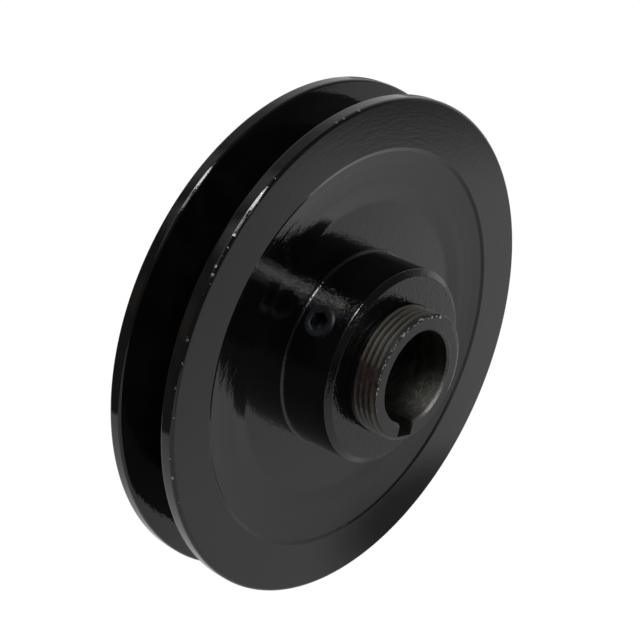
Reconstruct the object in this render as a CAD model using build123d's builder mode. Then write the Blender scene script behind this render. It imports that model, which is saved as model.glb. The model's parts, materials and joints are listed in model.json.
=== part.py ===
from build123d import *
import math
import os

# Adjustable (variable pitch) single-groove V-belt pulley. Millimetres.
# The shaft axis is Y, the threaded front end points to -Y and Z is up.
# The origin is on the shaft axis, in the groove's centre plane.

# ---- rims and groove ----
outer_radius = 76.7          # 6 inch class
front_rim_width = 4.5        # width of the movable flange's rim
rear_rim_width = 4.2         # width of the fixed flange's rim
rim_rounding = 1.1           # rounding of the rim's outer corners
groove_rounding = 0.9        # rounding of the corners at the groove's mouth
groove_opening = 15.8        # groove width at the rims
groove_half_angle = 14.0     # slope of each groove wall, degrees
flange_gap = 2.0             # gap between the flat inner faces, one thread turn

# ---- turned outer faces ----
ring_radius = 61.9           # outer edge of the shallow step in the face
ring_width = 1.1             # radial width of the step's slope
ring_top_depth = 0.6         # face depth at the step's outer edge
ring_foot_depth = 1.06       # face depth at the step's inner edge
web_middle_radius = 45.4     # the web is a shallow cone outside this radius and nearly flat inside
web_middle_depth = 2.78
hub_base_depth = 3.05        # face depth where it meets the hub

# ---- hubs ----
hub_radius = 30.0
hub_fillet = 0.9
hub_chamfer_axial = 1.2
hub_chamfer_radial = 1.9
front_hub_length = 14.25     # from the rim's front plane to the hub's end face
rear_hub_length = 13.9       # from the rim's rear plane to the hub's end face

# ---- threaded sleeve ----
thread_radius = 19.5         # M39 x 2 external thread
thread_pitch = 2.0
thread_depth = 1.08
thread_crest = 0.25
thread_root = 0.5
first_root_inset = 1.0       # first thread root, behind the sleeve's front end
thread_turns = 16
press_radius = 20.0          # plain rear part pressed into the fixed flange
sleeve_reach = 22.5          # sleeve end in front of the rim's front plane
sleeve_end_chamfer = 0.7
bore_radius = 28.575 / 2     # 1 1/8 inch shaft bore
bore_chamfer = 0.75
running_clearance = 0.04
key_width = 6.35             # 1/4 inch key
key_floor = 17.9             # keyway floor, from the shaft axis
key_angle = 251.0            # degrees from +X towards +Z

# ---- lock screws and thread plugs in the movable flange ----
lock_angles = (136.0, 316.0)
lock_inset = 3.75            # screw axis in front of the rim's front plane
lock_radius = 5.0            # M10
lock_length = 7.9
lock_proud = 0.6             # screw end above the hub's surface
lock_socket = 5.0            # hexagon across flats
lock_socket_turn = 25.0      # turn of the hexagon about the screw's axis
plug_radius = 4.15
plug_length = 2.85
plug_clearance = 0.05

# ---- shaft set screws in the rear hub ----
shaft_screw_radius = 4.0     # M8
shaft_screw_length = 10.0
shaft_screw_socket = 4.0
shaft_screw_inset = 7.4      # screw axis behind the rim's rear plane
shaft_screw_feet = (key_floor + 0.2, bore_radius + 0.3)
shaft_screw_angles = (key_angle, key_angle - 90.0)

hole_clearance = 0.05
screw_chamfer = 0.7
socket_depth = 0.55          # share of the screw's length

# ---- derived sizes ----
rim_inner = groove_opening / 2
front_plane = rim_inner + front_rim_width
rear_plane = rim_inner + rear_rim_width
flat_face = flange_gap / 2
flat_radius = outer_radius - (rim_inner - flat_face) / math.tan(math.radians(groove_half_angle))
front_hub_end = front_plane + front_hub_length
rear_hub_end = rear_plane + rear_hub_length
sleeve_end = front_plane + sleeve_reach
lock_y = -(front_plane + lock_inset)
shaft_screw_y = rear_plane + shaft_screw_inset


def flange_profile(side, rim_plane, hub_end, inner_radius):
    """Half section of one flange and its hub; side is -1 for the front, +1 for the rear."""
    face = [
        (hub_end, inner_radius),
        (hub_end, hub_radius - hub_chamfer_radial),
        (hub_end - hub_chamfer_axial, hub_radius),
        (rim_plane - hub_base_depth, hub_radius),
        (rim_plane - web_middle_depth, web_middle_radius),
        (rim_plane - ring_foot_depth, ring_radius - ring_width),
        (rim_plane - ring_top_depth, ring_radius),
        (rim_plane, outer_radius),
        (rim_inner, outer_radius),
        (flat_face, flat_radius),
        (flat_face, inner_radius),
    ]
    return [(side * y, r) for y, r in face]


def radial_plane(angle, y, radius):
    """Plane facing outwards at a radius and an angle round the shaft axis, x along the shaft axis."""
    a = math.radians(angle)
    out = (math.cos(a), 0, math.sin(a))
    return Plane(origin=(radius * out[0], y, radius * out[2]), x_dir=(0, 1, 0), z_dir=out)


def corners_at(part, y, radius, tolerance=0.05):
    """Circular edges of a part at an axial position and a radius."""
    return [
        e for e in part.edges().filter_by(GeomType.CIRCLE)
        if abs(e.arc_center.Y - y) < tolerance and abs(e.radius - radius) < tolerance
    ]


# ---- fixed flange with its rear hub ----
with BuildPart() as fixed_flange:
    with BuildSketch(Plane.YZ):
        with BuildLine():
            Polyline(*flange_profile(1, rear_plane, rear_hub_end, press_radius), close=True)
        make_face()
    revolve(axis=Axis.Y)
    fillet(corners_at(fixed_flange, rear_plane - hub_base_depth, hub_radius), hub_fillet)
    fillet(corners_at(fixed_flange, rear_plane, outer_radius), rim_rounding)
    fillet(corners_at(fixed_flange, rim_inner, outer_radius), groove_rounding)
    for angle in shaft_screw_angles:
        with BuildSketch(radial_plane(angle, shaft_screw_y, 0)):
            Circle(shaft_screw_radius + hole_clearance)
        extrude(amount=hub_radius + 2, mode=Mode.SUBTRACT)

# ---- threaded sleeve: shaft bore, keyway and outside thread ----
with BuildPart() as threaded_sleeve:
    with BuildSketch(Plane.YZ):
        with BuildLine():
            Polyline(
                (-sleeve_end, bore_radius + bore_chamfer),
                (-sleeve_end, thread_radius - sleeve_end_chamfer),
                (-sleeve_end + sleeve_end_chamfer, thread_radius),
                (flat_face, thread_radius),
                (flat_face, press_radius),
                (rear_hub_end, press_radius),
                (rear_hub_end, bore_radius + bore_chamfer),
                (rear_hub_end - bore_chamfer, bore_radius),
                (-sleeve_end + bore_chamfer, bore_radius),
                close=True,
            )
        make_face()
    revolve(axis=Axis.Y)
    with BuildSketch(Plane.YZ):
        for turn in range(thread_turns):
            y = -sleeve_end + first_root_inset + turn * thread_pitch
            root = thread_radius - thread_depth
            half_top = (thread_pitch - thread_crest) / 2
            with BuildLine():
                Polyline(
                    (y - half_top, thread_radius), (y - thread_root / 2, root),
                    (y + thread_root / 2, root), (y + half_top, thread_radius),
                    (y + half_top, thread_radius + 0.5), (y - half_top, thread_radius + 0.5),
                    close=True,
                )
            make_face()
    revolve(axis=Axis.Y, mode=Mode.SUBTRACT)
    with BuildSketch(radial_plane(key_angle, 0, 0)):
        with Locations(((rear_hub_end - sleeve_end) / 2, 0)):
            Rectangle(rear_hub_end + sleeve_end + 2, key_width)
    extrude(amount=key_floor, mode=Mode.SUBTRACT)
    for angle in shaft_screw_angles:
        with BuildSketch(radial_plane(angle, shaft_screw_y, 0)):
            Circle(shaft_screw_radius + hole_clearance)
        extrude(amount=press_radius + 2, mode=Mode.SUBTRACT)

# ---- movable flange with its front hub ----
with BuildPart() as movable_flange:
    with BuildSketch(Plane.YZ):
        with BuildLine():
            Polyline(
                *flange_profile(-1, front_plane, front_hub_end,
                                thread_radius + running_clearance),
                close=True,
            )
        make_face()
    revolve(axis=Axis.Y)
    fillet(corners_at(movable_flange, hub_base_depth - front_plane, hub_radius), hub_fillet)
    fillet(corners_at(movable_flange, -front_plane, outer_radius), rim_rounding)
    fillet(corners_at(movable_flange, -rim_inner, outer_radius), groove_rounding)
    plug_seat = thread_radius + plug_clearance + plug_length
    for angle in lock_angles:
        with BuildSketch(radial_plane(angle, lock_y, 0)):
            Circle(plug_radius + hole_clearance)
        extrude(amount=hub_radius, mode=Mode.SUBTRACT)
        with BuildSketch(radial_plane(angle, lock_y, plug_seat)):
            Circle(lock_radius + hole_clearance)
        extrude(amount=hub_radius, mode=Mode.SUBTRACT)


def set_screw(plane, radius, length, socket, turn=0.0):
    """Hexagon-socket set screw standing on a radial plane, socket outwards."""
    with BuildPart() as screw:
        with BuildSketch(plane):
            Circle(radius)
        extrude(amount=length)
        chamfer(screw.edges().filter_by(GeomType.CIRCLE), screw_chamfer)
        with BuildSketch(plane.offset(length)):
            RegularPolygon(socket / 2, 6, major_radius=False, rotation=turn)
        extrude(amount=-length * socket_depth, mode=Mode.SUBTRACT)
    return screw


def thread_plug(plane):
    """Soft disc that a lock screw presses against the sleeve's thread."""
    with BuildPart() as plug:
        with BuildSketch(plane):
            Circle(plug_radius)
        extrude(amount=plug_length)
    return plug


# ---- soft plugs, and the lock screws that stand on them ----
plug_foot = thread_radius + plug_clearance
lock_foot = hub_radius + lock_proud - lock_length
thread_plug_1, thread_plug_2 = [
    thread_plug(radial_plane(angle, lock_y, plug_foot)) for angle in lock_angles
]
lock_screw_1, lock_screw_2 = [
    set_screw(radial_plane(angle, lock_y, lock_foot), lock_radius, lock_length, lock_socket,
              lock_socket_turn)
    for angle in lock_angles
]

# ---- shaft set screws ----
shaft_screw_1, shaft_screw_2 = [
    set_screw(radial_plane(angle, shaft_screw_y, foot), shaft_screw_radius,
              shaft_screw_length, shaft_screw_socket)
    for angle, foot in zip(shaft_screw_angles, shaft_screw_feet)
]

# ---- labels and files ----
pieces = {
    "fixed_flange": fixed_flange,
    "threaded_sleeve": threaded_sleeve,
    "movable_flange": movable_flange,
    "thread_plug_1": thread_plug_1,
    "thread_plug_2": thread_plug_2,
    "lock_screw_1": lock_screw_1,
    "lock_screw_2": lock_screw_2,
    "shaft_screw_1": shaft_screw_1,
    "shaft_screw_2": shaft_screw_2,
}
os.makedirs("parts", exist_ok=True)
for name, piece in pieces.items():
    piece.part.label = name
    export_step(piece.part, f"parts/{name}.step")
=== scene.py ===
import json
import math

import bmesh
import bpy
from mathutils import Matrix, Vector


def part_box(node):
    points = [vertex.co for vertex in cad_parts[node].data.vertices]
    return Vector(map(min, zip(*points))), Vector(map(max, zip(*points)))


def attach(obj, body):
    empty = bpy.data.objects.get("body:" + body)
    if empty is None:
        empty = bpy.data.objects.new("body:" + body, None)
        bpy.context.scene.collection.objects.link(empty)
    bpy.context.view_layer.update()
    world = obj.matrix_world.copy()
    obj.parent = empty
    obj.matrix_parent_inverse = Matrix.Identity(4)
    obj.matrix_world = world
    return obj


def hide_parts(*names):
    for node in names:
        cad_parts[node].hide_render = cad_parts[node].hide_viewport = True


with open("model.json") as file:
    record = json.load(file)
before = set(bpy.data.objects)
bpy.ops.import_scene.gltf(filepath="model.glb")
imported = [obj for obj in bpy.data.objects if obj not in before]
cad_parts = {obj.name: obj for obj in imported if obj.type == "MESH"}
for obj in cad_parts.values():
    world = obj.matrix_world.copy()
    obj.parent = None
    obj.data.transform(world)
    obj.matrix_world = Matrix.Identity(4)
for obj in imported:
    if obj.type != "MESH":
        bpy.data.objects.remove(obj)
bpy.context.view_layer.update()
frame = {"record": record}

# Adjustable V-belt pulley. Metres; the shaft axis is Y, the threaded end points to -Y, Z is up.
# Angles round the shaft are measured from +X towards +Z.
MM = 0.001

# ---- sizes read from the frame ----
front_low, front_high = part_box("movable_flange")
rear_low, rear_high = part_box("fixed_flange")
sleeve_low, sleeve_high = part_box("threaded_sleeve")
outer_radius = min(side for low, high in ((front_low, front_high), (rear_low, rear_high))
                   for side in (high.x, high.z, -low.x, -low.z))
press_radius = min(sleeve_high.x, sleeve_high.z)
mounts = {m["name"]: m for m in frame["record"]["mounts"]}
bore_radius = mounts["shaft_bore"]["dims"]["r_mm"] * MM

# ---- sizes that a box can't give ----
front_plane = -12.4 * MM
rear_plane = 12.1 * MM
groove_edge = 7.9 * MM
groove_half_angle = math.radians(14.0)
hub_radius = 30.0 * MM
hub_chamfer_axial = 1.2 * MM
hub_chamfer_radial = 1.9 * MM
hub_base_depth = 3.05 * MM
ring_radius = 61.9 * MM
ring_width = 1.1 * MM
ring_top_depth = 0.6 * MM
ring_foot_depth = 1.06 * MM
web_middle_radius = 45.4 * MM
web_middle_depth = 2.78 * MM
web_waves = ((5.3, 6.5), (2.6, 5.0), (3.7, 6.1))  # millimetres outwards, slope in degrees
thread_radius = 19.5 * MM
thread_pitch = 2.0 * MM
thread_depth = 1.08 * MM
thread_phase = -0.375
thread_edge = 0.22 * MM
running_clearance = 0.04 * MM
hole_clearance = 0.05 * MM
bore_chamfer = 0.75 * MM
face_ring_radii = (17.9 * MM, 16.4 * MM)  # rings that divide the end face
key_width = 6.35 * MM
key_floor = 17.9 * MM
key_angle = math.radians(251.0)
edge_break = 0.3 * MM
screw_chamfer = 0.7 * MM
lock_radius = 5.0 * MM
lock_length = 7.9 * MM
lock_pitch = 1.5 * MM
lock_thread_depth = 0.8 * MM
lock_hole_thread_depth = 0.45 * MM
lock_socket = 5.0 * MM
lock_socket_depth = 4.3 * MM
lock_socket_turn = math.radians(25.0)
lock_hole_mouth = 1.2 * MM
shaft_screw_radius = 4.0 * MM
shaft_screw_length = 10.0 * MM
shaft_screw_pitch = 1.25 * MM
shaft_screw_thread_depth = 0.67 * MM
shaft_screw_hole_thread_depth = 0.4 * MM
shaft_screw_socket = 4.0 * MM
shaft_screw_socket_depth = 5.4 * MM
shaft_screw_hole_mouth = 0.9 * MM
hub_hole_foot = 18.0 * MM
sleeve_hole_foot = 8.0 * MM
plug_radius = 4.15 * MM
plug_length = 2.85 * MM

# ---- how finely round shapes are divided ----
flange_columns = 480
sleeve_columns = 384
screw_columns = 96
hole_columns = 64


# ---- mesh helpers ----
def polar(angle):
    """Unit vector at an angle round the shaft axis."""
    return Vector((math.cos(angle), 0.0, math.sin(angle)))


def shaft_frame():
    """Local z along -Y, local x along +X: an angle round local z is an angle round the shaft."""
    return Matrix(((1, 0, 0, 0), (0, 0, -1, 0), (0, 1, 0, 0), (0, 0, 0, 1)))


def radial_frame(angle, y, radius):
    """Local z points away from the shaft, local x along +Y."""
    out = polar(angle)
    side = out.cross(Vector((0, 1, 0)))
    m = Matrix((Vector((0, 1, 0)), side, out)).transposed().to_4x4()
    m.translation = out * radius + Vector((0, y, 0))
    return m


def rounded(corners, steps=7):
    """Closed outline from (axial, radius, rounding) corners, each corner an arc."""
    outline = []
    count = len(corners)
    for i, (a, r, rounding) in enumerate(corners):
        here = Vector((a, r))
        before = Vector(corners[i - 1][:2]) - here
        after = Vector(corners[(i + 1) % count][:2]) - here
        turn = before.angle(after)
        if rounding == 0 or turn > math.pi - 0.002:
            outline.append(here)
            continue
        reach = rounding / math.tan(turn / 2)
        start, end = here + before.normalized() * reach, here + after.normalized() * reach
        middle = here + (before.normalized() + after.normalized()).normalized() * (
            rounding / math.sin(turn / 2))
        first, last = start - middle, end - middle
        sweep = first.angle_signed(last)
        for k in range(steps + 1):
            spin = -sweep * k / steps
            outline.append(middle + Vector((first.x * math.cos(spin) - first.y * math.sin(spin),
                                            first.x * math.sin(spin) + first.y * math.cos(spin))))
    return outline


def divided(outline, longest):
    """The same closed outline with long runs cut into shorter ones."""
    points = []
    for i, p in enumerate(outline):
        q = outline[(i + 1) % len(outline)]
        pieces = max(1, math.ceil((q - p).length / longest))
        points += [p.lerp(q, k / pieces) for k in range(pieces)]
    return points


def grid_mesh(name, rings, closed):
    """Mesh from rings of points; each ring is closed round, and the last joins the first if closed."""
    mesh = bpy.data.meshes.new(name)
    columns = len(rings[0])
    points = [p for ring in rings for p in ring]
    faces = []
    for k in range(len(rings) if closed else len(rings) - 1):
        low, high = k * columns, (k + 1) % len(rings) * columns
        faces += [(low + i, low + (i + 1) % columns, high + (i + 1) % columns, high + i)
                  for i in range(columns)]
    mesh.from_pydata(points, [], faces)
    return mesh


def lathe(name, outline, columns):
    """Solid of revolution round the shaft axis from a closed (y, radius) outline."""
    angles = [2 * math.pi * i / columns for i in range(columns)]
    rings = [[polar(t) * r + Vector((0, y, 0)) for t in angles] for y, r in outline]
    return settled(grid_mesh(name, rings, True))


def settled(mesh, merge=1e-7):
    """Removes doubled points and flat faces and turns all faces outwards."""
    bm = bmesh.new()
    bm.from_mesh(mesh)
    bmesh.ops.remove_doubles(bm, verts=bm.verts, dist=merge)
    bmesh.ops.dissolve_degenerate(bm, dist=merge, edges=bm.edges)
    bmesh.ops.delete(bm, geom=[e for e in bm.edges if not e.link_faces], context="EDGES")
    bmesh.ops.delete(bm, geom=[v for v in bm.verts if not v.link_faces], context="VERTS")
    bmesh.ops.recalc_face_normals(bm, faces=bm.faces)
    bm.to_mesh(mesh)
    bm.free()
    return mesh


def thread_rings(radius, depth, pitch, z0, z1, angles, limit, outward=False, phase=0.0):
    """Rings of (z, r) down a right-hand thread from z0 to z1, cut square at both ends.

    limit(z) is the largest radius at a height. Each ring is one line of the thread's profile.
    """
    crest, root = 0.12, 0.22
    keys = [0.0, crest / 2, crest]
    keys += [crest + (1 - crest - root) / 2 * k / 3 for k in (1, 2, 3)]
    keys += [keys[-1] + root / 2, keys[-1] + root]
    keys += [keys[-1] + (1 - crest - root) / 2 * k / 3 for k in (1, 2)]

    def radius_at(z, angle):
        t = ((z - z0) / pitch - angle / (2 * math.pi) - phase) % 1.0
        flank = (1 - crest - root) / 2
        if t < crest:
            share = 0.0
        elif t < crest + flank:
            share = (t - crest) / flank
        elif t < crest + flank + root:
            share = 1.0
        else:
            share = 1 - (t - crest - flank - root) / flank
        share = share * share * (3 - 2 * share) * 0.35 + share * 0.65
        r = radius + depth * (1 - share) if outward else radius - depth * share
        return min(r, limit(z))

    turns = math.ceil((z1 - z0) / pitch)
    per_pitch = len(keys)
    rows = [(n, key) for n in range(-2, turns + 2) for key in keys]
    columns = []
    for angle in angles:
        column = []
        for n, key in rows:
            z = z0 + pitch * (n + key + angle / (2 * math.pi) + phase)
            z = min(max(z, z0), z1)
            column.append((z, radius_at(z, angle)))
        columns.append(column)
    return columns, per_pitch


def threaded_mesh(name, columns, per_pitch, angles, end_rows, merge=1e-7):
    """Closed mesh from a thread's columns and the rows that go over its top end and back to its foot."""
    mesh = bpy.data.meshes.new(name)
    count, height = len(angles), len(columns[0])

    def place(angle, z, r):
        return (r * math.cos(angle), r * math.sin(angle), z)

    points = [place(t, z, r) for t, column in zip(angles, columns) for z, r in column]
    faces = []
    for i in range(count - 1):
        a, b = i * height, (i + 1) * height
        faces += [(a + k, b + k, b + k + 1, a + k + 1) for k in range(height - 1)]
    last = (count - 1) * height
    faces += [(last + k, k + per_pitch, k + per_pitch + 1, last + k + 1)
              for k in range(height - 1 - per_pitch)]
    previous = [i * height + height - 1 for i in range(count)]
    for row in end_rows:
        start = len(points)
        points += [place(t, *row(t)) for t in angles]
        current = [start + i for i in range(count)]
        faces += [(previous[i], previous[(i + 1) % count], current[(i + 1) % count], current[i])
                  for i in range(count)]
        previous = current
    foot = [i * height for i in range(count)]
    faces += [(previous[i], previous[(i + 1) % count], foot[(i + 1) % count], foot[i])
              for i in range(count)]
    mesh.from_pydata(points, [], faces)
    return settled(mesh, merge)


def carve(mesh, cutters):
    """The mesh with the cutters' shapes taken out."""
    body = bpy.data.objects.new("carved", mesh)
    bpy.context.scene.collection.objects.link(body)
    tools = []
    for cutter in cutters:
        tool = bpy.data.objects.new("cutter", cutter)
        bpy.context.scene.collection.objects.link(tool)
        tools.append(tool)
        cut = body.modifiers.new("cut", "BOOLEAN")
        cut.operation, cut.solver, cut.object = "DIFFERENCE", "EXACT", tool
    bpy.context.view_layer.update()
    result = bpy.data.meshes.new_from_object(body.evaluated_get(bpy.context.evaluated_depsgraph_get()))
    for o in [body, *tools]:
        bpy.data.objects.remove(o)
    result.name = mesh.name
    return result


def shown(mesh, name, body, material, nodes=(), sharp_angle=32.0):
    """Links the finished piece, smooth with sharp edges kept, riding on its body."""
    mesh.name = name
    mesh.materials.clear()
    mesh.materials.append(material)
    for p in mesh.polygons:
        p.use_smooth = True
        p.material_index = 0
    mesh.set_sharp_from_angle(angle=math.radians(sharp_angle))
    piece = bpy.data.objects.new(name, mesh)
    bpy.context.scene.collection.objects.link(piece)
    weighted = piece.modifiers.new("weighted", "WEIGHTED_NORMAL")
    weighted.mode, weighted.weight, weighted.keep_sharp = "FACE_AREA", 50, True
    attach(piece, body)
    if nodes:
        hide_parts(*nodes)
    return piece


# ---- node helpers ----
class Tree:
    """Short way to add nodes: every call returns the new node's first output."""

    def __init__(self, tree):
        self.tree = tree
        tree.nodes.clear()

    def node(self, kind, settings=None, inputs=None, output=0):
        n = self.tree.nodes.new(kind)
        for key, value in (settings or {}).items():
            setattr(n, key, value)
        for key, value in (inputs or {}).items():
            self.put(n.inputs[key], value)
        return n.outputs[output] if len(n.outputs) else n

    def put(self, socket, value):
        if isinstance(value, bpy.types.NodeSocket):
            self.tree.links.new(value, socket)
        else:
            socket.default_value = value

    def math(self, operation, a, b=0.0):
        return self.node("ShaderNodeMath", {"operation": operation}, {0: a, 1: b})

    def add(self, a, b):
        return self.math("ADD", a, b)

    def sub(self, a, b):
        return self.math("SUBTRACT", a, b)

    def mul(self, a, b):
        return self.math("MULTIPLY", a, b)

    def largest(self, a, b):
        return self.math("MAXIMUM", a, b)

    def vector(self, operation, a, b=None, output=0):
        inputs = {0: a}
        if b is not None:
            inputs[1] = b
        return self.node("ShaderNodeVectorMath", {"operation": operation}, inputs, output)

    def scaled(self, vector, scale):
        return self.node("ShaderNodeVectorMath", {"operation": "SCALE"}, {0: vector, "Scale": scale})

    def noise(self, vector, scale, detail=3.0, rough=0.5, distort=0.0):
        return self.node("ShaderNodeTexNoise", {}, {
            "Vector": vector, "Scale": scale, "Detail": detail, "Roughness": rough, "Distortion": distort})

    def line_noise(self, value, scale, detail=3.0, rough=0.6):
        return self.node("ShaderNodeTexNoise", {"noise_dimensions": "1D"}, {
            "W": value, "Scale": scale, "Detail": detail, "Roughness": rough})

    def range(self, value, low, high, to_low=0.0, to_high=1.0):
        return self.node("ShaderNodeMapRange", {"interpolation_type": "SMOOTHSTEP"}, {
            "Value": value, "From Min": low, "From Max": high, "To Min": to_low, "To Max": to_high})

    def mix(self, factor, a, b):
        n = self.tree.nodes.new("ShaderNodeMix")
        n.data_type = "RGBA"
        for socket, value in zip([n.inputs[0], n.inputs[6], n.inputs[7]], [factor, a, b]):
            self.put(socket, value)
        return n.outputs[2]

    def bump(self, height, distance):
        return self.node("ShaderNodeBump", {}, {"Height": height, "Distance": distance, "Strength": 1.0})

    def cells(self, vector, scale, output=0):
        return self.node("ShaderNodeTexVoronoi", {"feature": "F1"}, {"Vector": vector, "Scale": scale},
                         output)

    def joined(self, x, y, z):
        return self.node("ShaderNodeCombineXYZ", {}, {0: x, 1: y, 2: z})

    def distance(self, a, b):
        return self.vector("DISTANCE", a, b, output=1)

    def split(self, vector):
        n = self.tree.nodes.new("ShaderNodeSeparateXYZ")
        self.put(n.inputs[0], vector)
        return n.outputs[0], n.outputs[1], n.outputs[2]


def new_material(name):
    material = bpy.data.materials.new(name)
    material.use_nodes = True
    return material, Tree(material.node_tree)


def place_nodes(t):
    """Object position in millimetres, its parts and the distance from the shaft axis."""
    mm = t.scaled(t.node("ShaderNodeTexCoord", output=3), 1000.0)
    x, y, z = t.split(mm)
    radius = t.vector("LENGTH", t.vector("MULTIPLY", mm, (1.0, 0.0, 1.0)), output=1)
    return mm, x, y, z, radius


def finish_shader(t, sockets):
    shader = t.tree.nodes.new("ShaderNodeBsdfPrincipled")
    for key, value in sockets.items():
        t.put(shader.inputs[key], value)
    out = t.tree.nodes.new("ShaderNodeOutputMaterial")
    t.tree.links.new(shader.outputs[0], out.inputs[0])


# ---- colours, linear ----
def rgb(red, green, blue):
    return (red, green, blue, 1)


enamel_deep, enamel_smeared = rgb(0.0016, 0.0016, 0.0018), rgb(0.0030, 0.0029, 0.0028)
dust_film = rgb(0.0034, 0.0033, 0.0035)
chipped_iron, chipped_steel = rgb(0.24, 0.23, 0.21), rgb(0.42, 0.43, 0.42)
face_paint, broken_paint = rgb(0.008, 0.008, 0.010), rgb(0.002, 0.002, 0.002)
olive_dark, olive_light = rgb(0.030, 0.029, 0.023), rgb(0.082, 0.078, 0.065)
# darker thread colours: roots with dirt and painted shade, and painted shade on the thread's right side
thread_root_dirt_and_shade, thread_right_painted_shade = rgb(0.008, 0.0075, 0.006), rgb(0.014, 0.013, 0.011)
rust_dark, rust_light = rgb(0.008, 0.006, 0.0045), rgb(0.026, 0.018, 0.013)
bore_dark, bore_light = rgb(0.022, 0.022, 0.020), rgb(0.062, 0.060, 0.052)
bore_spot, bore_mouth = rgb(0.012, 0.012, 0.010), rgb(0.140, 0.136, 0.115)
# painted highlight: bright glints at the bore's mouth
bore_painted_glint = rgb(0.42, 0.41, 0.36)
oxide_dark, oxide_light = rgb(0.004, 0.0045, 0.0055), rgb(0.009, 0.0095, 0.011)
brass_dark, brass_light = rgb(0.50, 0.33, 0.12), rgb(0.66, 0.47, 0.20)
white = rgb(1, 1, 1)


# ---- materials: noise scales are per millimetre, bump heights are shares of the bump distance ----
def enamel():
    """Gloss black enamel over turned iron: tool rings on the faces, orange peel, dust, worn rims."""
    material, t = new_material("black_enamel")
    mm, x, y, z, radius = place_nodes(t)
    hub = hub_radius / MM
    rim = outer_radius / MM
    face = groove_edge / MM + 3.45  # just inside the rims' outer planes
    ring_height, peel_height, fine_height, speck_height = 3.0, 8.0, 7.0, 4.0
    # tool rings: noise that runs fast outwards and slowly round
    rings = t.noise(t.joined(t.mul(radius, 1.15), t.mul(x, 0.16), t.mul(z, 0.16)), 1.0, 2.0, 0.6)
    off_hub = t.range(radius, hub + 0.2, hub + 1.6)
    height = t.mul(rings, t.mul(off_hub, ring_height))
    # orange peel, strongest on the hub
    peel = t.noise(mm, 0.8, 1.0, 0.5)
    fine = t.noise(mm, 1.9, 1.0, 0.5)
    peel_amount = t.range(radius, hub + 0.5, hub + 14.0, 1.0, 0.2)
    height = t.add(height, t.mul(peel, t.mul(peel_amount, peel_height)))
    height = t.add(height, t.mul(fine, t.mul(peel_amount, fine_height)))
    # grains of dust under the paint
    speck = t.range(t.cells(mm, 0.16), 0.045, 0.0)
    height = t.add(height, t.mul(speck, speck_height))
    normal = t.bump(height, 0.0000075)
    # handling marks in the gloss, and a film of dust on the outer web
    smear = t.noise(mm, 0.05, 4.0, 0.6, 0.6)
    rough = t.range(smear, 0.3, 0.75, 0.015, 0.05)
    tint = t.mix(t.range(smear, 0.35, 0.7), enamel_deep, enamel_smeared)
    cloud = t.noise(mm, 0.11, 5.0, 0.62, 0.8)
    dust = t.mul(t.range(cloud, 0.42, 0.68), t.range(radius, hub + 1.0, 40.0))
    tint = t.mix(dust, tint, dust_film)
    # small chips along the corner between rim and face, mostly at the upper left
    at_corner = t.mul(t.range(radius, rim - 0.75, rim - 0.45),
                      t.range(t.math("ABSOLUTE", y), face, face + 0.3))
    upper_left = t.range(t.add(t.mul(x, -0.7), t.mul(z, 0.7)), 42.0, 66.0)
    chance, _, _ = t.split(t.cells(mm, 1.4, output=1))
    threshold = t.sub(0.985, t.mul(upper_left, 0.02))
    chip = t.range(t.mul(at_corner, t.range(chance, threshold, 1.0)), 0.02, 0.12)
    tint = t.mix(chip, tint, chipped_iron)
    rough = t.largest(rough, t.mul(chip, 0.4))
    finish_shader(t, {"Base Color": tint, "Metallic": chip, "Roughness": rough, "Normal": normal,
                      "IOR": 1.5})
    return material


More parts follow.
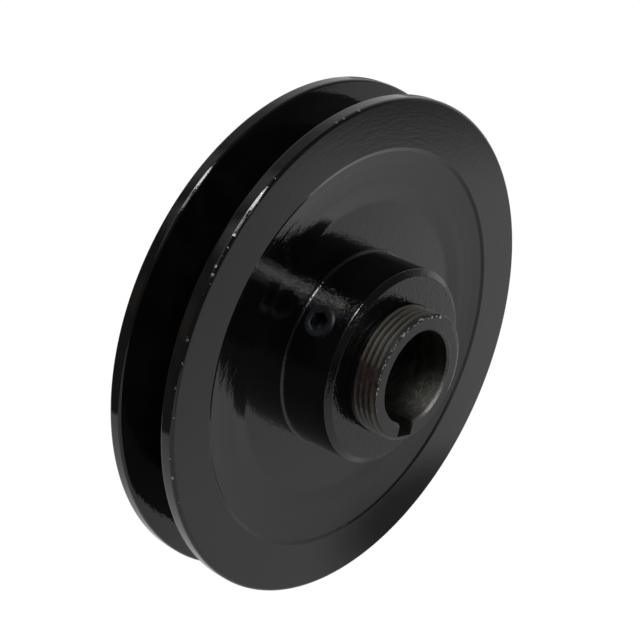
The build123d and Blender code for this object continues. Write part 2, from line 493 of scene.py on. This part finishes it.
def bare_sleeve():
    """Turned steel sleeve: painted end face with a chipped edge, dull olive thread, rust, bare bore."""
    material, t = new_material("sleeve_steel")
    mm, x, y, z, radius = place_nodes(t)
    end = sleeve_low.y / MM
    rust_middle = (-18.6, 0.0, 3.8)
    painted_glint_middle = (8.0, end + 2.0, -11.8)
    grain_height, feed_height, spot_height, flake_depth = 2.2, 2.0, -1.0, 10.0
    paint_rough, chipped_rough = 0.06, 0.85
    grain = t.noise(mm, 2.2, 4.0, 0.65)
    patches = t.noise(mm, 0.22, 4.0, 0.6)
    coarse = t.range(t.noise(mm, 0.9, 2.0, 0.5), 0.35, 0.65)
    # paint ends in chips at the thread's front edge
    from_end = t.sub(y, end)
    chips = t.noise(mm, 1.3, 2.0, 0.6)
    ragged = t.add(radius, t.mul(t.sub(chips, 0.5), 2.2))
    painted = t.mul(t.range(from_end, 0.10, 0.04), t.range(radius, 15.0, 15.2))
    painted = t.mul(painted, t.range(ragged, 18.75, 18.6))
    edge = t.mul(t.range(from_end, 0.62, 0.38), t.range(radius, 18.1, 18.35))
    # the upper left of the edge is chipped: bright steel flecks in a line of broken black paint
    upper = t.add(t.mul(x, -0.5), t.mul(z, 0.87))
    chipped = t.mul(edge, t.range(upper, 6.0, 11.0))
    flake, flake_height, _ = t.split(t.cells(mm, 1.9, output=1))
    bright_chip = t.mul(chipped, t.range(flake, 0.80, 0.83))
    black_chip = t.mul(chipped, t.range(flake, 0.79, 0.75))
    # thread: olive crests, roots darkened by dirt and painted shade, a brown patch on the left, painted
    # shade on the right
    # crest to root: lighter olive on the crests, dirt and painted shade in the roots
    crest = t.range(radius, 18.5, 19.35)
    olive = t.mix(grain, olive_dark, olive_light)
    olive = t.mix(crest, thread_root_dirt_and_shade, olive)
    aside = t.distance(t.joined(x, 0.0, z), rust_middle)
    left_patch = t.add(t.range(aside, 9.5, 4.5), t.mul(patches, 0.5))
    rust_zone = t.largest(t.range(left_patch, 0.55, 0.95), t.range(patches, 0.60, 0.72, 0.0, 0.7))
    rust = t.mix(coarse, rust_dark, rust_light)
    metal = t.mix(rust_zone, olive, rust)
    # painted shade: the thread darkens towards the right
    right = t.range(t.add(x, 6.0), 0.0, 12.0, 0.0, 0.55)
    metal = t.mix(right, metal, thread_right_painted_shade)
    # bore: bare steel with dark stains, drawn out round the bore, a lighter speckled chamfer at the mouth,
    # and a painted highlight of bright glints at the lower right of the mouth
    in_bore = t.range(radius, 15.6, 15.2)
    drawn = t.vector("MULTIPLY", mm, (0.35, 1.0, 0.35))
    stains = t.range(t.noise(drawn, 0.5, 4.0, 0.6, 0.4), 0.30, 0.72)
    # painted highlight: a patch of bright glints at the lower right of the bore's mouth
    painted_glint_zone = t.range(t.distance(mm, painted_glint_middle), 11.0, 1.0)
    painted_glints = t.mul(t.range(t.noise(drawn, 1.6, 3.0, 0.6), 0.50, 0.68, 0.35, 1.0), painted_glint_zone)
    spots = t.range(t.noise(mm, 1.5, 3.0, 0.6), 0.56, 0.64)
    bore_metal = t.mix(stains, bore_dark, bore_light)
    bore_metal = t.mix(t.mul(spots, 0.6), bore_metal, bore_spot)
    mouth = t.mul(t.range(from_end, 1.1, 0.7), t.range(grain, 0.35, 0.65, 0.15, 1.0))
    bore_metal = t.mix(mouth, bore_metal, bore_mouth)
    bore_metal = t.mix(painted_glints, bore_metal, bore_painted_glint)
    metal = t.mix(in_bore, metal, bore_metal)
    color = t.mix(painted, metal, face_paint)
    color = t.mix(black_chip, color, broken_paint)
    color = t.mix(bright_chip, color, chipped_steel)
    metallic = t.mul(t.sub(1.0, painted), t.range(in_bore, 0.0, 1.0, 0.12, 0.85))
    metallic = t.largest(metallic, bright_chip)
    bare_rough = t.add(t.range(grain, 0.3, 0.7, 0.30, 0.46), t.mul(in_bore, 0.10))
    rough = t.mul(t.sub(1.0, painted), bare_rough)
    rough = t.add(rough, t.mul(painted, paint_rough))
    rough = t.largest(rough, t.mul(black_chip, chipped_rough))
    feed = t.line_noise(y, 3.0, 3.0, 0.6)
    height = t.add(t.mul(grain, grain_height), t.mul(feed, feed_height))
    height = t.add(height, t.mul(spots, t.mul(in_bore, spot_height)))
    height = t.add(height, t.mul(chipped, t.mul(flake_height, flake_depth)))
    height = t.mul(height, t.sub(1.0, t.mul(painted, 0.93)))
    normal = t.bump(height, 0.000016)
    finish_shader(t, {"Base Color": color, "Metallic": metallic, "Roughness": rough, "Normal": normal})
    return material


def screw_steel():
    """Black oxide on the hexagon-socket screws."""
    material, t = new_material("screw_steel")
    mm = place_nodes(t)[0]
    grain = t.noise(mm, 1.6, 4.0, 0.6)
    color = t.mix(grain, oxide_dark, oxide_light)
    rough = t.range(grain, 0.3, 0.7, 0.34, 0.46)
    normal = t.bump(grain, 0.000007)
    finish_shader(t, {"Base Color": color, "Metallic": 0.0, "Roughness": rough, "Normal": normal,
                      "IOR": 1.28})
    return material


def plug_brass():
    """Soft brass of the thread plugs."""
    material, t = new_material("plug_brass")
    mm = place_nodes(t)[0]
    grain = t.noise(mm, 1.2, 4.0, 0.6)
    color = t.mix(grain, brass_dark, brass_light)
    rough = t.range(grain, 0.3, 0.7, 0.25, 0.42)
    normal = t.bump(grain, 0.00002)
    finish_shader(t, {"Base Color": color, "Metallic": 1.0, "Roughness": rough, "Normal": normal})
    return material


paint, sleeve_finish, screw_finish, brass_finish = enamel(), bare_sleeve(), screw_steel(), plug_brass()


# ---- screws ----
def screw_mesh(name, radius, pitch, depth, length, socket, turn, socket_depth, frame_matrix):
    """Hexagon-socket set screw with a real thread and a cup point, foot at local z = 0."""
    half = socket / 2
    lead = 0.25 * MM
    foot = radius - screw_chamfer
    angles = [turn + 2 * math.pi * i / screw_columns for i in range(screw_columns)]
    local = [a - turn for a in angles]

    def limit(z):
        return min(radius, foot + (length - z), foot + z)

    columns, per_pitch = thread_rings(radius, depth, pitch, 0.0, length, local, limit)

    def hexagon(angle, apothem):
        return apothem / math.cos((angle - turn) % (math.pi / 3) - math.pi / 6)

    end_rows = [
        lambda a: (length, foot * 0.985),
        lambda a: (length, max(hexagon(a, half) + lead * 0.2, half + lead * 2.6)),
        lambda a: (length - lead, hexagon(a, half)),
        lambda a: (length - socket_depth * 0.5, hexagon(a, half)),
        lambda a: (length - socket_depth, hexagon(a, half)),
        lambda a: (length - socket_depth, half * 0.9),
        lambda a: (length - socket_depth - half * 0.35, 0.0),
        lambda a: (foot * 0.45, 0.0),
        lambda a: (0.0, foot * 0.72),
    ]
    mesh = threaded_mesh(name, columns, per_pitch, angles, end_rows)
    mesh.transform(frame_matrix)
    return mesh


def tapped_cutter(radius, pitch, depth, z0, z1, mouth, frame_matrix):
    """Shape of a tapped hole: the thread stops short of the mouth, which is plain."""
    angles = [2 * math.pi * i / hole_columns for i in range(hole_columns)]

    def limit(z):
        return radius + max(0.0, min(depth, (mouth - z) * 0.8, (z - z0 - 0.2 * MM) * 0.8))

    columns, per_pitch = thread_rings(radius, depth, pitch, z0, z1, angles, limit, outward=True)
    end_rows = [lambda a: (z1, 0.0), lambda a: (z0, 0.0)]
    mesh = threaded_mesh("cutter", columns, per_pitch, angles, end_rows)
    mesh.transform(frame_matrix)
    return mesh


def centre_of(node):
    low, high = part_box(node)
    return (low + high) / 2


screws = {}
for i in (1, 2):
    for kind in ("lock_screw", "shaft_screw"):
        middle = centre_of(f"{kind}_{i}")
        screws[f"{kind}_{i}"] = (math.atan2(middle.z, middle.x), middle.y,
                                 math.hypot(middle.x, middle.z))


def hub_hole(name, foot, outside, mouth):
    """Cutter for the tapped hole of a screw, from a foot radius to past an outside radius."""
    angle, y, _ = screws[name]
    radius, pitch, depth = {
        "lock": (lock_radius, lock_pitch, lock_hole_thread_depth),
        "shaft": (shaft_screw_radius, shaft_screw_pitch, shaft_screw_hole_thread_depth),
    }[name.split("_")[0]]
    return tapped_cutter(radius + hole_clearance, pitch, depth, foot, outside + 2 * MM, mouth,
                         radial_frame(angle, y, 0.0))


# ---- flanges ----
def flange_outline(side, rim_plane, hub_end, inner_radius):
    rim_inner, flat = side * groove_edge, side * abs(front_high.y)
    flat_radius = outer_radius - (groove_edge - abs(flat)) / math.tan(groove_half_angle)

    def deep(depth):
        return rim_plane - side * depth

    # outside its middle radius the web is a shallow cone that the tool left slightly wavy
    web = [(deep(web_middle_depth), web_middle_radius, 16.0 * MM)]
    radius, depth = web_middle_radius, web_middle_depth
    for run, slope in web_waves:
        radius += run * MM
        depth -= run * MM * math.tan(math.radians(slope))
        web.append((deep(depth), radius, 60.0 * MM))
    corners = [
        (hub_end, inner_radius, 0.25 * MM),
        (hub_end, hub_radius - hub_chamfer_radial, 0.4 * MM),
        (hub_end - side * hub_chamfer_axial, hub_radius, 0.4 * MM),
        (deep(hub_base_depth), hub_radius, 0.9 * MM),
        *web,
        (deep(ring_foot_depth), ring_radius - ring_width, 0.9 * MM),
        (deep(ring_top_depth), ring_radius, 0.9 * MM),
        (rim_plane, outer_radius, 1.1 * MM),
        (rim_inner, outer_radius, 0.9 * MM),
        (flat, flat_radius, 0.5 * MM),
        (flat, inner_radius, 0.2 * MM),
    ]
    return divided(rounded(corners), 5.0 * MM)


front_mesh = lathe("front_flange", flange_outline(-1, front_plane, front_low.y,
                                                  thread_radius + running_clearance), flange_columns)
front_mesh = carve(front_mesh, [hub_hole(f"lock_screw_{i}", hub_hole_foot, hub_radius,
                                         hub_radius - lock_hole_mouth) for i in (1, 2)])
shown(front_mesh, "front_flange", "movable_half", paint, ["movable_flange"])

rear_mesh = lathe("rear_flange", flange_outline(1, rear_plane, rear_high.y, press_radius), flange_columns)
rear_mesh = carve(rear_mesh, [hub_hole(f"shaft_screw_{i}", hub_hole_foot, hub_radius,
                                       hub_radius - shaft_screw_hole_mouth) for i in (1, 2)])
shown(rear_mesh, "rear_flange", "fixed_half", paint, ["fixed_flange"])


# ---- threaded sleeve ----
def sleeve_mesh():
    """Sleeve with its helical thread, bore and keyway; some columns stand on the keyway's corners."""

    def wall(radius):
        return math.asin(key_width / 2 / radius)

    corner = math.atan(key_width / 2 / key_floor)
    special = [wall(bore_radius), wall(bore_radius + bore_chamfer), corner]
    special = sorted(key_angle + s * v for s in (-1, 1) for v in special)
    spins = [2 * math.pi * i / sleeve_columns for i in range(sleeve_columns)]
    for value in special:
        nearest = min(range(sleeve_columns), key=lambda i: abs(spins[i] - value))
        spins[nearest] = value
    spins.sort()

    def off_key(angle):
        return abs((angle - key_angle + math.pi) % (2 * math.pi) - math.pi)

    def notch(angle):
        off = off_key(angle)
        if off > math.radians(40):
            return 0.0
        if off <= corner + 1e-9:
            return key_floor / math.cos(off)
        return key_width / 2 / math.sin(off)

    def inner(angle, radius):
        return max(radius, notch(angle)) if off_key(angle) < wall(radius) + 1e-9 else radius

    top, step, foot = -sleeve_low.y, -rear_low.y, -sleeve_high.y

    def limit(z):
        return min(thread_radius, thread_radius - thread_edge + (top - z) * 1.2)

    columns, per_pitch = thread_rings(thread_radius, thread_depth, thread_pitch, step, top, spins,
                                      limit, phase=thread_phase)
    open_radius = bore_radius + bore_chamfer
    end_rows = [lambda a, r=r: (top, max(r, inner(a, open_radius))) for r in face_ring_radii]
    end_rows += [
        lambda a: (top, inner(a, open_radius)),
        lambda a: (top - bore_chamfer, inner(a, bore_radius)),
    ]
    runs = 12
    bore_length = top - foot - 2 * bore_chamfer
    for k in range(1, runs):
        end_rows.append(lambda a, k=k: (top - bore_chamfer - bore_length * k / runs, inner(a, bore_radius)))
    end_rows += [
        lambda a: (foot + bore_chamfer, inner(a, bore_radius)),
        lambda a: (foot, inner(a, open_radius)),
        lambda a: (foot, press_radius - edge_break),
        lambda a: (foot + edge_break, press_radius),
        lambda a: (foot + (step - foot) / 2, press_radius),
        lambda a: (step - edge_break, press_radius),
        lambda a: (step, press_radius - edge_break),
    ]
    mesh = threaded_mesh("sleeve", columns, per_pitch, spins, end_rows)
    mesh.transform(shaft_frame())
    return mesh


sleeve = carve(sleeve_mesh(), [hub_hole(f"shaft_screw_{i}", sleeve_hole_foot, press_radius,
                                        press_radius + 3 * MM) for i in (1, 2)])
shown(sleeve, "threaded_sleeve_visual", "fixed_half", sleeve_finish, ["threaded_sleeve"])

# ---- screws and plugs ----
plug_outline = [Vector(p) for p in (
    (0, 0.0), (0, plug_radius - edge_break), (edge_break, plug_radius),
    (plug_length - edge_break, plug_radius), (plug_length, plug_radius - edge_break),
    (plug_length, 0.0))]
plug_angles = [2 * math.pi * k / screw_columns for k in range(screw_columns)]
plug_rings = [[(r * math.cos(t), r * math.sin(t), a) for t in plug_angles]
              for a, r in divided(plug_outline, 1.0 * MM)]

for i in (1, 2):
    angle, y, middle = screws[f"lock_screw_{i}"]
    mesh = screw_mesh("lock", lock_radius, lock_pitch, lock_thread_depth, lock_length, lock_socket,
                      lock_socket_turn, lock_socket_depth, radial_frame(angle, y, middle - lock_length / 2))
    shown(mesh, f"lock_screw_{i}_visual", f"lock_{i}", screw_finish, [f"lock_screw_{i}"])
    angle, y, middle = screws[f"shaft_screw_{i}"]
    mesh = screw_mesh("shaft", shaft_screw_radius, shaft_screw_pitch, shaft_screw_thread_depth,
                      shaft_screw_length, shaft_screw_socket, 0.0, shaft_screw_socket_depth,
                      radial_frame(angle, y, middle - shaft_screw_length / 2))
    shown(mesh, f"shaft_screw_{i}_visual", f"shaft_set_{i}", screw_finish,
          [f"shaft_screw_{i}"])
    middle = centre_of(f"thread_plug_{i}")
    mesh = settled(grid_mesh("plug", plug_rings, True))
    mesh.transform(radial_frame(math.atan2(middle.z, middle.x), middle.y,
                                math.hypot(middle.x, middle.z) - plug_length / 2))
    shown(mesh, f"thread_plug_{i}_visual", f"plug_{i}", brass_finish, [f"thread_plug_{i}"])


# ---- camera ----
view_azimuth, view_elevation, view_distance = math.radians(-49.918), math.radians(30.868), 548.2 * MM
view_target = Vector((0, -12.21, 0)) * MM
aim_shift = Vector((-3.908, 11.329, 7.935)) * MM
camera_data = bpy.data.cameras.new("camera")
camera_data.lens, camera_data.sensor_width = 104.84, 36.0
camera_data.clip_start, camera_data.clip_end = 0.01, 50.0
camera = bpy.data.objects.new("camera", camera_data)
bpy.context.scene.collection.objects.link(camera)
camera.location = view_target + view_distance * Vector((
    math.sin(view_azimuth) * math.cos(view_elevation),
    -math.cos(view_azimuth) * math.cos(view_elevation),
    math.sin(view_elevation)))
camera.rotation_euler = (view_target + aim_shift - camera.location).to_track_quat("-Z", "Y").to_euler()
bpy.context.scene.camera = camera


# ---- studio ----
def emission(name, build):
    material, t = new_material(name)
    color, strength = build(t)
    shader = t.node("ShaderNodeEmission", {}, {"Color": color, "Strength": strength})
    out = t.tree.nodes.new("ShaderNodeOutputMaterial")
    t.tree.links.new(shader, out.inputs[0])
    return material


def staged(name, points, faces, material, camera_sees):
    mesh = bpy.data.meshes.new(name)
    mesh.from_pydata(points, [], faces)
    mesh.materials.append(material)
    o = bpy.data.objects.new(name, mesh)
    bpy.context.scene.collection.objects.link(o)
    o.visible_camera = camera_sees
    o.visible_glossy = o.visible_diffuse = o.visible_transmission = not camera_sees
    o.visible_shadow = False
    return o


def square(half, z=0.0):
    return [(-half, -half, z), (half, -half, z), (half, half, z), (-half, half, z)]


def floor_look(t):
    return white, 1.02


# the floor runs up into walls and a ceiling, so that level views see the same white
room = 6.0
room_faces = [(0, 1, 2, 3), (0, 1, 5, 4), (1, 2, 6, 5), (2, 3, 7, 6), (3, 0, 4, 7), (4, 5, 6, 7)]
floor = staged("floor", square(room) + square(room, room), room_faces,
               emission("floor", floor_look), True)
floor.location.z = -outer_radius


def sheet_look(t):
    """White table as the object reflects it: brighter to the left and behind, dim where the rim stands.

    Distances are in metres from below the object, to the right and away from the camera.
    """
    table_level = 0.62
    behind_gain, left_gain, painted_shadow_band_gain = 0.22, 0.22, -0.10
    painted_contact_shadow_gain, far_gain, shade_gain = -0.44, -0.36, -0.55
    contact_along, contact_across = 0.0372, -0.0104
    corner_loss = 0.92
    right, depth, _ = t.split(t.node("ShaderNodeTexCoord", output=3))
    slant = t.mul(t.largest(t.sub(right, 0.2), 0.0), 0.5)
    behind = t.range(t.sub(depth, slant), 0.0, 0.06, 0.0, behind_gain)
    behind = t.mul(behind, t.range(right, 0.03, 0.08))
    left = t.mul(t.range(right, -0.02, -0.06, 0.0, left_gain), t.range(depth, -0.10, -0.03))
    # painted shadow: a darker band to the right of the rims
    painted_shadow_band = t.mul(t.range(right, 0.03, 0.17, 0.0, painted_shadow_band_gain), t.range(depth, 0.04, 0.0))
    # painted shadow under the rims, longer along one diagonal
    along = t.add(t.mul(right, 0.8), t.mul(depth, 0.6))
    across = t.sub(t.mul(depth, 0.8), t.mul(right, 0.6))
    near = t.vector("LENGTH", t.joined(t.mul(t.sub(along, contact_along), 0.6),
                                       t.mul(t.sub(across, contact_across), 1.3), 0.0), output=1)
    painted_contact_shadow = t.add(t.range(near, 0.008, 0.034, painted_contact_shadow_gain, 0.0), painted_shadow_band)
    far = t.mul(t.range(right, 0.25, 0.33, 0.0, far_gain), t.range(depth, 0.26, 0.16))
    shade = t.mul(t.range(depth, 0.11, 0.17, 0.0, shade_gain), t.range(right, 0.27, 0.21))
    far = t.add(far, shade)
    level = t.add(t.add(behind, painted_contact_shadow), t.add(far, left))
    level = t.add(level, table_level)
    # the sheet's front right corner is missing: the dark room shows there
    corner = t.mul(t.range(t.add(depth, t.mul(right, 0.9)), -0.10, -0.13),
                   t.range(t.add(depth, t.mul(right, 2.0)), -0.06, -0.02))
    level = t.mul(level, t.sub(1.0, t.mul(corner, corner_loss)))
    return white, level


sheet_left, sheet_far = 0.22, 3.0
sheet = staged("sheet", [(-sheet_left, -sheet_far, 0), (sheet_far, -sheet_far, 0),
                         (sheet_far, sheet_far, 0), (-sheet_left, sheet_far, 0)],
               [(0, 1, 2, 3)], emission("sheet", sheet_look), False)
sheet.location.z = -outer_radius - 0.2 * MM
sheet.rotation_euler.z = view_azimuth


def world_look(t):
    """Room light by direction: bright right and behind, dim high left, dark low left, a warm patch."""
    direction = t.vector("NORMALIZE", t.node("ShaderNodeTexCoord", output=0))
    x, y, z = t.split(direction)
    around = t.math("ARCTAN2", x, t.mul(y, -1.0))
    height = t.math("ARCSINE", z)

    def degrees(value, low, high, to_low=0.0, to_high=1.0):
        return t.range(value, math.radians(low), math.radians(high), to_low, to_high)

    # azimuth 0 is towards -Y and 90 towards +X
    right = t.mul(degrees(around, 46, 100, 0.09, 1.0), degrees(around, 150, 112, 0.45, 1.0))
    right = t.mul(right, t.mul(degrees(height, 45, 26, 0.55, 1.0), degrees(height, 86, 70, 0.5, 1.0)))
    right = t.mul(right, degrees(around, 178, 165))
    back = t.largest(degrees(around, 165, 178), degrees(around, -150, -176))
    back = t.mul(back, degrees(height, 24, 40, 0.0, 0.5))
    left = t.mul(degrees(around, -55, -80), degrees(around, -160, -150))
    left = t.mul(left, degrees(height, 33, 48, 0.06, 0.62))
    dim_level, warm_color = 0.07, (0.085, 0.055, 0.03)
    level = t.largest(t.largest(right, back), t.largest(left, dim_level))
    warm = t.range(t.distance(direction, polar_direction(-131, 16)), 0.05, 0.20, 1.0, 0.0)
    channels = [t.add(level, t.mul(warm, share)) for share in warm_color]
    return t.node("ShaderNodeCombineColor", {}, dict(enumerate(channels))), 1.0


def polar_direction(azimuth, elevation):
    a, e = math.radians(azimuth), math.radians(elevation)
    return (math.sin(a) * math.cos(e), -math.cos(a) * math.cos(e), math.sin(e))


world = bpy.data.worlds.new("studio")
bpy.context.scene.world = world
world.use_nodes = True
world_tree = Tree(world.node_tree)
color, strength = world_look(world_tree)
background = world_tree.node("ShaderNodeBackground", {}, {"Color": color, "Strength": strength})
world_out = world_tree.tree.nodes.new("ShaderNodeOutputWorld")
world_tree.tree.links.new(background, world_out.inputs[0])


def strip_lamp(name, lean, heading, start, stop, width, radiance, tint):
    """Long ceiling lamp 1.5 m up: it passes the object at x = -lean * height, and runs along heading."""
    height = 1.5
    along = Vector((heading, 1.0, 0.0))
    ends = [Vector((-lean * height, 0.0, height)) + along * y for y in (start, stop)]
    centre, long_side = (ends[0] + ends[1]) / 2, ends[1] - ends[0]
    data = bpy.data.lights.new(name, "AREA")
    data.shape, data.size, data.size_y = "RECTANGLE", long_side.length, width
    data.energy = radiance * math.pi * long_side.length * width
    data.color = tint
    o = bpy.data.objects.new(name, data)
    bpy.context.scene.collection.objects.link(o)
    long_side.normalize()
    up = Vector((0, 0, 1))
    rotation = Matrix((long_side, up.cross(long_side), up)).transposed()
    o.matrix_world = Matrix.Translation(centre) @ rotation.to_4x4()
    return o


warm_white, soft_white = (1.0, 0.99, 0.95), (1.0, 0.99, 0.97)
cold_white, pale_blue = (0.88, 0.94, 1.0), (0.80, 0.90, 1.0)
row_a = {"lean": 0.28, "heading": -0.10}
row_b = {"lean": 0.502, "heading": -0.084}
strip_lamp("strip_a_front", **row_a, start=-1.34, stop=-1.10, width=0.22, radiance=38.0, tint=warm_white)
strip_lamp("strip_a", **row_a, start=-1.08, stop=0.6, width=0.30, radiance=14.0, tint=soft_white)
strip_lamp("strip_far", lean=0.327, heading=-0.20, start=-4.2, stop=-1.75, width=0.30, radiance=3.0,
           tint=soft_white)
strip_lamp("strip_b_front", **row_b, start=-1.70, stop=-0.98, width=0.22, radiance=6.0, tint=pale_blue)
strip_lamp("strip_b", **row_b, start=-0.55, stop=0.6, width=0.24, radiance=5.5, tint=cold_white)

bpy.context.scene.view_settings.view_transform = "Standard"
